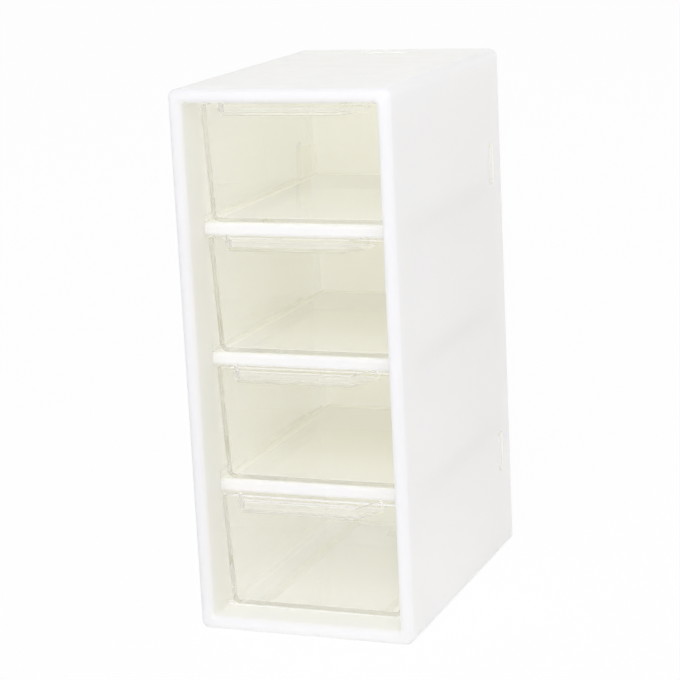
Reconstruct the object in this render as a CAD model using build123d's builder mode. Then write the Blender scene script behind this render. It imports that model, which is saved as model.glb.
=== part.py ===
from build123d import *
import os
from math import radians, sqrt, tan

# A desktop chest of four mini drawers. A white moulded sleeve with a thick rounded front collar
# holds three slide-in shelves, and a back panel snaps into slots near the sleeve's rear edge.
# Four clear moulded tubs run on the floor ribs and the shelves, each with a tray-shaped pull.
# Millimetres. +X is the chest's right seen from the front, +Y is its back, +Z is up, and the
# origin is the middle of the base.

# ---- housing sleeve ----
housing_width = 83.0
housing_depth = 125.0
housing_height = 200.0
wall = 2.2  # side, top and bottom walls
edge_radius = 3.0  # the four long outer edges
rear_chamfer = 0.6  # lead-in for the back panel

# ---- front collar ----
rim_width = 5.0  # face of the rim, seen from the front
collar_depth = 14.5  # from the front of the rim to the shelf noses
return_wall = 1.7  # inner skin of the hollow collar
rim_skin = 3.0  # solid front of the rim, ahead of the hollow
opening_radius = 1.2  # corners of the front opening
rim_radius = min(2.3, 0.46 * rim_width)  # rounding of the rim, limited by its face

# ---- tiers ----
tiers = 4
floor_height = 5.7  # running surface of the lowest drawer
header_height = 6.8  # from the top of the housing down to the bar over the highest drawer
nose_height = 4.8  # front bar of a shelf
step_radius = 0.8  # front edge of the bar over the drawers and of the step under them

# ---- shelves ----
shelf_thickness = 2.0
nose_depth = 2.4
nose_radius = 1.6
shelf_fit = 0.2  # gap at each side of a shelf
guide_height = 1.2  # ribs that carry a shelf and hold it down
guide_reach = 2.4
guide_play = 0.15
guide_stop = 18.5  # from the rear edge to the end of the ribs

# ---- floor runners ----
runner_width = 1.6
runner_offset = 24.0

# ---- back panel and its snaps ----
back_recess = 1.2  # below the rear edge of the housing
back_thickness = 2.0
back_fit = 0.2
back_field_margin = 7.0  # border round the sunk field
back_field_depth = 0.5
slot_length = 16.0
slot_width = 5.5
slot_inset = 9.3  # from the rear edge to the slot
slot_radius = 0.8
snap_play = 0.2  # between a barb and the ends of its slot
arm_width = 12.0
arm_thickness = 1.5
barb_flat = 1.6
barb_sink = 0.4  # below the outer face of the housing
snap_above_shelf = 6.8  # upper side snaps, over the highest shelf
snap_below_shelf = 12.8  # lower side snaps, under the lowest shelf

# ---- drawers ----
drawer_wall = 1.5
side_gap = 1.1
run_gap = 0.3  # under a drawer, and between its pull and the nose above
rim_gap = 0.5  # over a drawer's rim
rear_gap = 1.4  # behind a shut drawer
side_draft = 2.3  # degrees
front_draft = 0.8
tub_radius = 3.0  # along the bottom, at each side
tub_front_radius = 0.5
tub_rear_radius = 2.6
tub_rim_radius = 0.7  # outer edge of the rim
stop_width = 12.0
stop_offset = 20.0
stop_catch = 1.5  # how far a stop stands above the underside of the nose
stop_chamfer = 0.7
drawn = [0.0, 0.0, 0.0, 2.5]  # how far each drawer stands out, from the top down

# ---- pulls ----
pull_depth = 12.0
pull_rear_width = 57.5
pull_front_width = 44.5
pull_plate = 1.2
pull_ledge = 0.4  # from the edge of the plate in to the foot of the lip
pull_lip = 1.1
pull_lip_height = 4.0
pull_drop = 2.3  # from the drawer's rim down to the underside of the pull
pull_radius = 1.6
pull_inner_radius = 0.5
pull_edge_radius = 0.4

# ---- places worked out from the sizes above ----
front_y = -housing_depth / 2
rear_y = housing_depth / 2
collar_y = front_y + collar_depth
middle_z = housing_height / 2
inner_width = housing_width - 2 * wall
inner_height = housing_height - 2 * wall
opening_width = housing_width - 2 * rim_width
opening_height = housing_height - 2 * rim_width
pitch = (housing_height - floor_height - header_height + nose_height) / tiers
clear_height = pitch - nose_height
floors = [floor_height + pitch * (tiers - 1 - tier) for tier in range(tiers)]
back_y = rear_y - back_recess - back_thickness
nose_back_y = collar_y + nose_depth
slot_y = rear_y - slot_inset - slot_width / 2
drawer_width = opening_width - 2 * side_gap
drawer_length = back_y - rear_gap - collar_y
drawer_height = clear_height - run_gap - rim_gap


def upright(y):
    """The plane across the chest at depth y, whose own normal points forward."""
    return Plane.XZ.offset(-y)


def snap_frames():
    """One plane for each snap, on the housing wall's outer face over the slot's middle, with X
    along the slot's length, Y towards the back and Z outwards."""
    side_heights = (floors[0] + snap_above_shelf, floors[-2] - snap_below_shelf)
    frames = []
    for side in (-1, 1):
        for height in side_heights:
            origin = (side * housing_width / 2, slot_y, height)
            frames.append(Plane(origin=origin, x_dir=(0, 0, -side), z_dir=(side, 0, 0)))
    frames.append(Plane(origin=(0, slot_y, housing_height), x_dir=(1, 0, 0), z_dir=(0, 0, 1)))
    frames.append(Plane(origin=(0, slot_y, 0), x_dir=(-1, 0, 0), z_dir=(0, 0, -1)))
    return frames


def make_housing():
    """The sleeve, with its collar, floor runners, shelf guides and snap slots."""
    header_z = housing_height - header_height
    with BuildPart() as housing:
        with BuildSketch(upright(rear_y)):
            with Locations((0, middle_z)):
                RectangleRounded(housing_width, housing_height, edge_radius)
        extrude(amount=housing_depth)
        fillet(housing.faces().sort_by(Axis.Y)[0].edges(), rim_radius)
        with BuildSketch(upright(front_y)):
            with Locations((0, middle_z)):
                RectangleRounded(opening_width, opening_height, opening_radius)
        extrude(amount=-collar_depth, mode=Mode.SUBTRACT)
        front_face = housing.faces().filter_by(Axis.Y).sort_by(Axis.Y)[0]
        fillet(front_face.inner_wires()[0].edges(), rim_radius)
        with BuildSketch(upright(rear_y)):
            with Locations((0, middle_z)):
                RectangleRounded(inner_width, inner_height, edge_radius - wall)
        extrude(amount=rear_y - collar_y, mode=Mode.SUBTRACT)
        # the collar is hollow from behind, so its two skins are moulded at an even thickness
        with BuildSketch(upright(collar_y)):
            with Locations((0, middle_z)):
                RectangleRounded(inner_width, inner_height, edge_radius - wall)
                skin_width = opening_width + 2 * return_wall
                skin_height = opening_height + 2 * return_wall
                RectangleRounded(skin_width, skin_height, opening_radius, mode=Mode.SUBTRACT)
        extrude(amount=collar_depth - rim_skin, mode=Mode.SUBTRACT)
        # a low step under the lowest drawer and a bar over the highest, just behind the collar
        with BuildSketch(Plane.YZ.offset(-inner_width / 2)) as bars:
            for low, high in ((wall, floor_height), (header_z, housing_height - wall)):
                with Locations(((collar_y + nose_back_y) / 2, (low + high) / 2)):
                    Rectangle(nose_depth, high - low)
            fillet(bars.vertices().group_by(Axis.Y)[0].sort_by(Axis.Z)[1:3], step_radius)
        extrude(amount=inner_width)
        # ribs on the floor, which the lowest drawer runs on
        with BuildSketch(upright(back_y - back_fit)):
            with Locations((0, (wall + floor_height) / 2)):
                with GridLocations(2 * runner_offset, 0, 2, 1):
                    Rectangle(runner_width, floor_height - wall)
        extrude(amount=back_y - back_fit - nose_back_y)
        # a rib under and a rib over each edge of every shelf
        with BuildSketch(upright(rear_y - guide_stop)):
            for top in floors[:-1]:
                slot_middle = top - shelf_thickness / 2
                rib_span = shelf_thickness + 2 * guide_play + guide_height
                with Locations((0, slot_middle)):
                    with GridLocations(inner_width - guide_reach, rib_span, 2, 2):
                        Rectangle(guide_reach, guide_height)
        extrude(amount=rear_y - guide_stop - nose_back_y - shelf_fit)
        for frame in snap_frames():
            with BuildSketch(frame):
                RectangleRounded(slot_length, slot_width, slot_radius)
            extrude(amount=-wall, mode=Mode.SUBTRACT)
        rear_face = housing.faces().filter_by(Axis.Y).sort_by(Axis.Y)[-1]
        chamfer(rear_face.inner_wires()[0].edges(), rear_chamfer)
    return housing


def make_shelf(top):
    """A flat shelf with its upper face at height top, and a deeper rounded nose along its front."""
    width = inner_width - 2 * shelf_fit
    with BuildPart() as shelf:
        with BuildSketch(Plane.YZ.offset(-width / 2)):
            with BuildLine():
                Polyline(
                    (collar_y, top),
                    (back_y - back_fit, top),
                    (back_y - back_fit, top - shelf_thickness),
                    (nose_back_y, top - shelf_thickness),
                    (nose_back_y, top - nose_height),
                    (collar_y, top - nose_height),
                    close=True,
                )
            make_face()
        extrude(amount=width)
        fillet(shelf.edges().filter_by(Axis.X).group_by(Axis.Y)[0], nose_radius)
    return shelf


def make_snap(frame):
    """One snap arm: a flat spring from the back panel with a wedge-shaped barb in its slot."""
    panel_reach = back_y - slot_y
    half_slot = slot_width / 2
    arm_face = -wall - back_fit
    tip = -half_slot + snap_play
    catch = half_slot - snap_play
    with BuildPart() as snap:
        with BuildSketch(Plane(frame.origin, x_dir=frame.y_dir, z_dir=frame.x_dir)):
            with BuildLine():
                Polyline(
                    (tip, arm_face),
                    (catch - barb_flat, -barb_sink),
                    (catch, -barb_sink),
                    (catch, arm_face),
                    (panel_reach, arm_face),
                    (panel_reach, arm_face - arm_thickness),
                    (tip, arm_face - arm_thickness),
                    close=True,
                )
            make_face()
        extrude(amount=arm_width / 2, both=True)
    return snap


def make_back_panel():
    """The plate that closes the rear, with six snap arms and a sunk field on its outer face."""
    width = inner_width - 2 * back_fit
    height = inner_height - 2 * back_fit
    snaps = [make_snap(frame) for frame in snap_frames()]
    with BuildPart() as panel:
        with BuildSketch(upright(back_y)):
            with Locations((0, middle_z)):
                RectangleRounded(width, height, edge_radius - wall)
        extrude(amount=-back_thickness)
        with BuildSketch(upright(back_y + back_thickness)):
            with Locations((0, middle_z)):
                RectangleRounded(
                    width - 2 * back_field_margin,
                    height - 2 * back_field_margin,
                    edge_radius,
                )
        extrude(amount=back_field_depth, mode=Mode.SUBTRACT)
        for snap in snaps:
            add(snap.part)
    return panel


def make_tub(inset, height):
    """The drawer's outer form in its own frame, shrunk by inset at its sides, floor and ends, and
    as tall as height: a trapezium with rounded bottom corners, cut off by the leaning ends. The
    frame has its origin under the middle of the drawer's front edge."""
    lean = tan(radians(side_draft))
    half_top = drawer_width / 2 - inset + (height - drawer_height) * lean
    half_bottom = half_top - (height - inset) * lean
    front_lean = tan(radians(front_draft))
    with BuildPart() as tub:
        with BuildSketch(upright(drawer_length)) as outline:
            with BuildLine():
                Polyline(
                    (-half_bottom, inset),
                    (half_bottom, inset),
                    (half_top, height),
                    (-half_top, height),
                    close=True,
                )
            make_face()
            fillet(outline.vertices().group_by(Axis.Y)[0], tub_radius - inset)
        extrude(amount=drawer_length)
        front_cut = Plane(
            origin=(0, inset, drawer_height), x_dir=(1, 0, 0), z_dir=(0, -1, -front_lean)
        )
        rear_cut = Plane(
            origin=(0, drawer_length - inset, drawer_height), x_dir=(1, 0, 0), z_dir=(0, 1, -lean)
        )
        split(bisect_by=front_cut, keep=Keep.BOTTOM)
        split(bisect_by=rear_cut, keep=Keep.BOTTOM)
        ends = tub.faces().sort_by(Axis.Y)
        top_face = tub.faces().sort_by(Axis.Z)[-1]
        for end, radius in ((ends[-1], tub_rear_radius), (ends[0], tub_front_radius)):
            kept = [edge for edge in end.edges() if edge not in top_face.edges()]
            fillet(kept, max(radius - inset, drawer_wall / 5))
    return tub


def pull_outline(inset, root):
    """The corners of the pull's plan in the drawer's frame, set in from its three free sides, with
    its rear side at depth root."""
    slope = (pull_rear_width - pull_front_width) / 2 / pull_depth
    shift = inset * sqrt(1 + slope**2)
    half_front = pull_front_width / 2 + slope * inset - shift
    half_rear = pull_rear_width / 2 + slope * root - shift
    front = inset - pull_depth
    return [(-half_rear, root), (-half_front, front), (half_front, front), (half_rear, root)]


def make_pull():
    """The tray-shaped pull in the drawer's frame: a thin plate with a lip round its three free
    sides. Above the drawer's rim the lip stops short of the nose that it meets."""
    low = drawer_height - pull_drop
    with BuildPart() as pull:
        with BuildSketch(Plane.XY.offset(low)) as plate:
            with BuildLine():
                Polyline(*pull_outline(0, drawer_wall / 2), close=True)
            make_face()
            fillet(plate.vertices().group_by(Axis.Y)[0], pull_radius)
        extrude(amount=pull_plate)
        with BuildSketch(Plane.XY.offset(low + pull_plate)) as lip:
            with BuildLine():
                Polyline(*pull_outline(pull_ledge, drawer_wall / 2), close=True)
            make_face()
            fillet(lip.vertices().group_by(Axis.Y)[0], pull_radius - pull_ledge)
        extrude(amount=pull_lip_height - pull_plate)
        with BuildSketch(Plane.XY.offset(low + pull_plate)) as hollow:
            with BuildLine():
                Polyline(*pull_outline(pull_ledge + pull_lip, drawer_wall / 2), close=True)
            make_face()
            fillet(hollow.vertices().group_by(Axis.Y)[0], pull_inner_radius)
        extrude(amount=pull_lip_height, mode=Mode.SUBTRACT)
        with BuildSketch(Plane.XY.offset(drawer_height)):
            with Locations((0, -run_gap)):
                Rectangle(drawer_width, pull_depth, align=(Align.CENTER, Align.MIN))
        extrude(amount=pull_lip_height, mode=Mode.SUBTRACT)
        fillet(pull.faces().sort_by(Axis.Z)[-1].edges(), pull_edge_radius)
        under = pull.faces().sort_by(Axis.Z)[0].edges().sort_by(Axis.Y)[:-1]
        fillet(under, pull_edge_radius)
    return pull


def make_stops():
    """Two upstands on the drawer's rear rim that meet the back of the nose above."""
    foot = drawer_height - tub_rim_radius
    top = clear_height - run_gap + stop_catch
    with BuildPart() as stops:
        with BuildSketch(Plane.XY.offset(foot)):
            with Locations((0, drawer_length - drawer_wall / 2)):
                with GridLocations(2 * stop_offset, 0, 2, 1):
                    Rectangle(stop_width, drawer_wall)
        extrude(amount=top - foot)
        rear_edges = stops.edges().filter_by(Axis.X).group_by(Axis.Y)[-1]
        chamfer(rear_edges.group_by(Axis.Z)[-1], stop_chamfer)
    return stops


def make_drawer(tier):
    """The drawer of one tier, counted from the top down."""
    outer = make_tub(0, drawer_height)
    with BuildPart() as rounded:
        add(outer.part)
        fillet(rounded.faces().sort_by(Axis.Z)[-1].edges(), tub_rim_radius)
    inner = make_tub(drawer_wall, drawer_height + pull_lip_height)
    pull = make_pull()
    stops = make_stops()
    with BuildPart() as drawer:
        add(rounded.part)
        add(pull.part)
        add(inner.part, mode=Mode.SUBTRACT)
        add(stops.part)
    place = (0, collar_y - drawn[tier], floors[tier] + run_gap)
    drawer.part = drawer.part.moved(Location(place))
    return drawer


pieces = {
    "housing": make_housing(),
    "back_panel": make_back_panel(),
    "shelf_upper": make_shelf(floors[0]),
    "shelf_middle": make_shelf(floors[1]),
    "shelf_lower": make_shelf(floors[2]),
    "drawer_top": make_drawer(0),
    "drawer_upper": make_drawer(1),
    "drawer_lower": make_drawer(2),
    "drawer_bottom": make_drawer(3),
}

os.makedirs("parts", exist_ok=True)
for name, piece in pieces.items():
    piece.part.label = name
    export_step(piece.part, f"parts/{name}.step")
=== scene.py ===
from math import cos, radians, sin

import bpy
from mathutils import Matrix, Vector

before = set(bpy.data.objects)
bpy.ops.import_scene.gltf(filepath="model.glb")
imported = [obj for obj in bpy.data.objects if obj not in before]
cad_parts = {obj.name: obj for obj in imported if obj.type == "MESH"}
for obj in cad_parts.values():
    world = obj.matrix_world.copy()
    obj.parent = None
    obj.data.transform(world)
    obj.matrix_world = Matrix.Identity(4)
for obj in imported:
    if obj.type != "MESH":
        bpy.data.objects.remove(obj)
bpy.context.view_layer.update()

# A small white chest with four clear drawers, on a pale floor under soft studio light. The packed
# pieces keep their shapes. This script gives them their plastics, and sets the lamps and camera.
# Lengths are in metres.

MM = 0.001
WHITE = (1, 1, 1, 1)

# ---- camera: the photograph's view, found from the corners of the chest ----
IMAGE_SIDE = 680  # in pixels, as the focal length is
FOCAL_PIXELS = 2243.4
SENSOR_WIDTH = 36.0
VIEW_AZIMUTH = radians(21.474)
VIEW_ELEVATION = radians(12.942)
VIEW_ROLL = radians(-2.868)
VIEW_DISTANCE = 850.7 * MM
VIEW_AIM = Vector((-4.19, -2.35, 97.17)) * MM
FARTHEST_SEEN = 100

# ---- noise patterns: how many times each repeats in a metre, and how many finer layers it has ----
CLOUDS = (22.0, 3.0)
GLOSS_PATCHES = (90.0, 3.0)
FINE_GRAIN = (900.0, 2.0)
MATT_GRAIN = (1600.0, 2.0)
CLEAR_PATCHES = (60.0, 2.0)
FLOW_WAVES = (35.0, 1.0)

# ---- reliefs left by the moulds: pattern, depth, and how much of that depth shows ----
FINE_RELIEF = (FINE_GRAIN, 0.01 * MM, 0.35)
MATT_RELIEF = (MATT_GRAIN, 0.05 * MM, 0.35)
FLOW_RELIEF = (FLOW_WAVES, 0.1 * MM, 0.2)

# ---- white plastics ----
SHELL_PALE = (0.986, 0.984, 0.938, 1)
SHELL_DEEP = (0.980, 0.978, 0.930, 1)
SHELL_ROUGH = (0.16, 0.24)
SHELF_PALE = (0.986, 0.984, 0.940, 1)
SHELF_DEEP = (0.980, 0.978, 0.932, 1)
SHELF_ROUGH = (0.18, 0.26)
BACK_PALE = (0.986, 0.984, 0.936, 1)
BACK_DEEP = (0.980, 0.978, 0.928, 1)
BACK_ROUGH = (0.5, 0.62)
WHITE_IOR = 1.49
WALL_LETS_THROUGH = 0.38  # how much of the light on a face comes from its other side

# ---- clear plastic ----
CLEAR_TINT = (1.0, 0.998, 0.989, 1)
EDGE_TINT = (0.968, 0.968, 0.978, 1)  # what light loses on its way along a clear wall
CLEAR_ROUGH = (0.0, 0.02)
CLEAR_IOR = 1.5
# the rays that pass a clear wall without a bend, and their tint
STRAIGHT_RAYS = {
    "Is Reflection Ray": EDGE_TINT,
    "Is Shadow Ray": CLEAR_TINT,
    "Is Diffuse Ray": CLEAR_TINT,
}

# ---- light ----
AMBIENT_COLOUR = (0.832, 0.822, 1.0, 1)
AMBIENT = 0.51
LAMP_SIDE = 1.2
LAMP_AIM = (0, 0, 0.1)
# each soft lamp: where it stands, its watts, its colour, and whether gloss mirrors it
LAMPS = {
    "front_high": ((0.2, -1.6, 1.7), 24.0, (0.869, 0.882, 1.0), True),
    "front_right": ((1.2, -1.9, 0.8), 9.0, (1.0, 0.98, 0.97), False),
    "rear_right": ((1.8, 1.3, 0.8), 11.0, (0.953, 0.939, 1.0), False),
}
FLOOR_COLOUR = (0.93, 0.93, 0.94, 1)
FLOOR_OWN_LIGHT = 0.97  # how much of the floor reads as plain white, where it is seen
FLOOR_RADIUS = 12.0
# light finds its way out of the chest and its clear drawers only after many turns
MOST_TURNS = 256
MOST_DIFFUSE_TURNS = 48
MOST_GLOSSY_TURNS = 120
MOST_CLEAR_TURNS = 64
MOST_OPEN_PASSES = 160


def new_material(name):
    """An empty node material and its tree."""
    material = bpy.data.materials.new(name)
    material.use_nodes = True
    material.node_tree.nodes.clear()
    return material, material.node_tree


def add_node(tree, kind, **values):
    """A node of one kind with its own settings."""
    node = tree.nodes.new(kind)
    for key, value in values.items():
        setattr(node, key, value)
    return node


def plain_shader(tree, kind, colour):
    """A shader that needs only a colour."""
    node = add_node(tree, kind)
    node.inputs["Color"].default_value = colour
    return node


def noise(tree, place, pattern):
    """A noise pattern in the object's own metres."""
    scale, detail = pattern
    node = add_node(tree, "ShaderNodeTexNoise")
    node.inputs["Scale"].default_value = scale
    node.inputs["Detail"].default_value = detail
    tree.links.new(place, node.inputs["Vector"])
    return node.outputs["Fac"]


def relief_normal(tree, place, relief):
    """The surface direction of a shallow relief that follows a noise pattern."""
    pattern, depth, strength = relief
    bump = add_node(tree, "ShaderNodeBump")
    bump.inputs["Strength"].default_value = strength
    bump.inputs["Distance"].default_value = depth
    tree.links.new(noise(tree, place, pattern), bump.inputs["Height"])
    return bump.outputs["Normal"]


def spread(tree, factor, low, high):
    """A factor spread over the range from low to high."""
    node = add_node(tree, "ShaderNodeMapRange")
    node.inputs["To Min"].default_value = low
    node.inputs["To Max"].default_value = high
    tree.links.new(factor, node.inputs["Value"])
    return node.outputs["Result"]


def blend_colours(tree, factor, first, second):
    """A colour between two, by a factor."""
    node = add_node(tree, "ShaderNodeMix", data_type="RGBA")
    node.inputs["A"].default_value = first
    node.inputs["B"].default_value = second
    tree.links.new(factor, node.inputs["Factor"])
    return node.outputs["Result"]


def mix_shaders(tree, first, second):
    """A mix of two shaders. Its factor, the share of the second, is still to be set."""
    mix = add_node(tree, "ShaderNodeMixShader")
    tree.links.new(first, mix.inputs[1])
    tree.links.new(second, mix.inputs[2])
    return mix


def set_surface(tree, shader, kind="ShaderNodeOutputMaterial"):
    """Makes a shader what the material, or the world, shows."""
    out = add_node(tree, kind)
    tree.links.new(shader, out.inputs["Surface"])


def moulded_white(name, pale, deep, rough, relief):
    """White moulded plastic: faint cloudy tone, uneven gloss, the tool's fine texture, and walls
    thin enough to pass some light."""
    material, tree = new_material(name)
    place = add_node(tree, "ShaderNodeTexCoord").outputs["Object"]
    tone = blend_colours(tree, noise(tree, place, CLOUDS), deep, pale)
    gloss = spread(tree, noise(tree, place, GLOSS_PATCHES), *rough)
    normal = relief_normal(tree, place, relief)
    plastic = add_node(tree, "ShaderNodeBsdfPrincipled")
    plastic.inputs["IOR"].default_value = WHITE_IOR
    tree.links.new(tone, plastic.inputs["Base Color"])
    tree.links.new(gloss, plastic.inputs["Roughness"])
    tree.links.new(normal, plastic.inputs["Normal"])
    thin = plain_shader(tree, "ShaderNodeBsdfTranslucent", WHITE)
    tree.links.new(normal, thin.inputs["Normal"])
    both = mix_shaders(tree, plastic.outputs["BSDF"], thin.outputs["BSDF"])
    both.inputs["Fac"].default_value = WALL_LETS_THROUGH
    set_surface(tree, both.outputs["Shader"])
    return material


def moulded_clear(name):
    """Clear moulded plastic that bends what is seen through it, and lets lamps through. Light that
    was reflected inside a wall goes straight out of it, a little dimmer."""
    material, tree = new_material(name)
    place = add_node(tree, "ShaderNodeTexCoord").outputs["Object"]
    gloss = spread(tree, noise(tree, place, CLEAR_PATCHES), *CLEAR_ROUGH)
    normal = relief_normal(tree, place, FLOW_RELIEF)
    glass = add_node(tree, "ShaderNodeBsdfPrincipled")
    glass.inputs["Base Color"].default_value = CLEAR_TINT
    glass.inputs["Transmission Weight"].default_value = 1.0
    glass.inputs["IOR"].default_value = CLEAR_IOR
    tree.links.new(gloss, glass.inputs["Roughness"])
    tree.links.new(normal, glass.inputs["Normal"])
    path = add_node(tree, "ShaderNodeLightPath")
    shown = glass.outputs["BSDF"]
    for ray, tint in STRAIGHT_RAYS.items():
        straight = plain_shader(tree, "ShaderNodeBsdfTransparent", tint)
        mix = mix_shaders(tree, shown, straight.outputs["BSDF"])
        tree.links.new(path.outputs[ray], mix.inputs["Fac"])
        shown = mix.outputs["Shader"]
    set_surface(tree, shown)
    return material


def finish_node(name, material):
    """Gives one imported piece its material."""
    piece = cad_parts[name]
    piece.data.materials.clear()
    piece.data.materials.append(material)


def seen_directly(tree):
    """1 for the rays that show a background: from the camera, by reflection or through glass."""
    path = add_node(tree, "ShaderNodeLightPath")
    seen = path.outputs["Is Camera Ray"]
    for ray in ("Is Glossy Ray", "Is Transmission Ray"):
        either = add_node(tree, "ShaderNodeMath", operation="MAXIMUM")
        tree.links.new(seen, either.inputs[0])
        tree.links.new(path.outputs[ray], either.inputs[1])
        seen = either.outputs["Value"]
    return seen


def make_world():
    """White where it is seen, and an even soft light elsewhere."""
    world = bpy.data.worlds.new("studio")
    bpy.context.scene.world = world
    world.use_nodes = True
    tree = world.node_tree
    tree.nodes.clear()
    seen = seen_directly(tree)
    background = add_node(tree, "ShaderNodeBackground")
    colour = blend_colours(tree, seen, AMBIENT_COLOUR, WHITE)
    tree.links.new(colour, background.inputs["Color"])
    tree.links.new(spread(tree, seen, AMBIENT, 1.0), background.inputs["Strength"])
    set_surface(tree, background.outputs["Background"], "ShaderNodeOutputWorld")


def make_floor():
    """A wide pale floor that keeps a faint shadow and otherwise reads as white."""
    mesh = bpy.data.meshes.new("floor")
    r = FLOOR_RADIUS
    mesh.from_pydata([(-r, -r, 0), (r, -r, 0), (r, r, 0), (-r, r, 0)], [], [(0, 1, 2, 3)])
    floor = bpy.data.objects.new("floor", mesh)
    bpy.context.scene.collection.objects.link(floor)
    material, tree = new_material("floor_paper")
    paper = plain_shader(tree, "ShaderNodeBsdfDiffuse", FLOOR_COLOUR)
    glow = plain_shader(tree, "ShaderNodeEmission", WHITE)
    both = mix_shaders(tree, paper.outputs["BSDF"], glow.outputs["Emission"])
    own_light = spread(tree, seen_directly(tree), 0.0, FLOOR_OWN_LIGHT)
    tree.links.new(own_light, both.inputs["Fac"])
    set_surface(tree, both.outputs["Shader"])
    mesh.materials.append(material)


def aim_matrix(place, target, roll=0.0):
    """Where something at place has to stand to look at target, turned by roll about its view."""
    forward = (target - place).normalized()
    level = forward.cross(Vector((0, 0, 1))).normalized()
    upright = level.cross(forward)
    right = level * cos(roll) + upright * sin(roll)
    top = upright * cos(roll) - level * sin(roll)
    turn = Matrix((right, top, -forward)).transposed()
    return Matrix.Translation(place) @ turn.to_4x4()


def make_lamp(name, place, power, colour, mirrored):
    """A soft square lamp that faces the chest."""
    data = bpy.data.lights.new(name, "AREA")
    data.shape = "SQUARE"
    data.size = LAMP_SIDE
    data.energy = power
    data.color = colour
    lamp = bpy.data.objects.new(name, data)
    lamp.matrix_world = aim_matrix(Vector(place), Vector(LAMP_AIM))
    lamp.visible_glossy = mirrored
    bpy.context.scene.collection.objects.link(lamp)


def let_light_turn():
    """Enough turns of light for the inside of a white box and of clear walls."""
    cycles = bpy.context.scene.cycles
    cycles.max_bounces = MOST_TURNS
    cycles.diffuse_bounces = MOST_DIFFUSE_TURNS
    cycles.glossy_bounces = MOST_GLOSSY_TURNS
    cycles.transmission_bounces = MOST_CLEAR_TURNS
    cycles.transparent_max_bounces = MOST_OPEN_PASSES


def make_camera():
    """The photograph's view."""
    forward = Vector(
        (
            -sin(VIEW_AZIMUTH) * cos(VIEW_ELEVATION),
            cos(VIEW_AZIMUTH) * cos(VIEW_ELEVATION),
            -sin(VIEW_ELEVATION),
        )
    )
    data = bpy.data.cameras.new("view")
    data.sensor_width = SENSOR_WIDTH
    data.lens = FOCAL_PIXELS / IMAGE_SIDE * SENSOR_WIDTH
    data.clip_end = FARTHEST_SEEN
    camera = bpy.data.objects.new("view", data)
    camera.matrix_world = aim_matrix(VIEW_AIM - forward * VIEW_DISTANCE, VIEW_AIM, VIEW_ROLL)
    bpy.context.scene.collection.objects.link(camera)
    bpy.context.scene.camera = camera


shell = moulded_white("shell_plastic", SHELL_PALE, SHELL_DEEP, SHELL_ROUGH, FINE_RELIEF)
shelf = moulded_white("shelf_plastic", SHELF_PALE, SHELF_DEEP, SHELF_ROUGH, FINE_RELIEF)
back = moulded_white("back_plastic", BACK_PALE, BACK_DEEP, BACK_ROUGH, MATT_RELIEF)
clear = moulded_clear("drawer_plastic")

finish_node("housing", shell)
finish_node("back_panel", back)
for name in ("shelf_upper", "shelf_middle", "shelf_lower"):
    finish_node(name, shelf)
for name in ("drawer_top", "drawer_upper", "drawer_lower", "drawer_bottom"):
    finish_node(name, clear)

make_world()
make_floor()
for name, settings in LAMPS.items():
    make_lamp(name, *settings)
make_camera()
let_light_turn()
bpy.context.scene.view_settings.view_transform = "Standard"
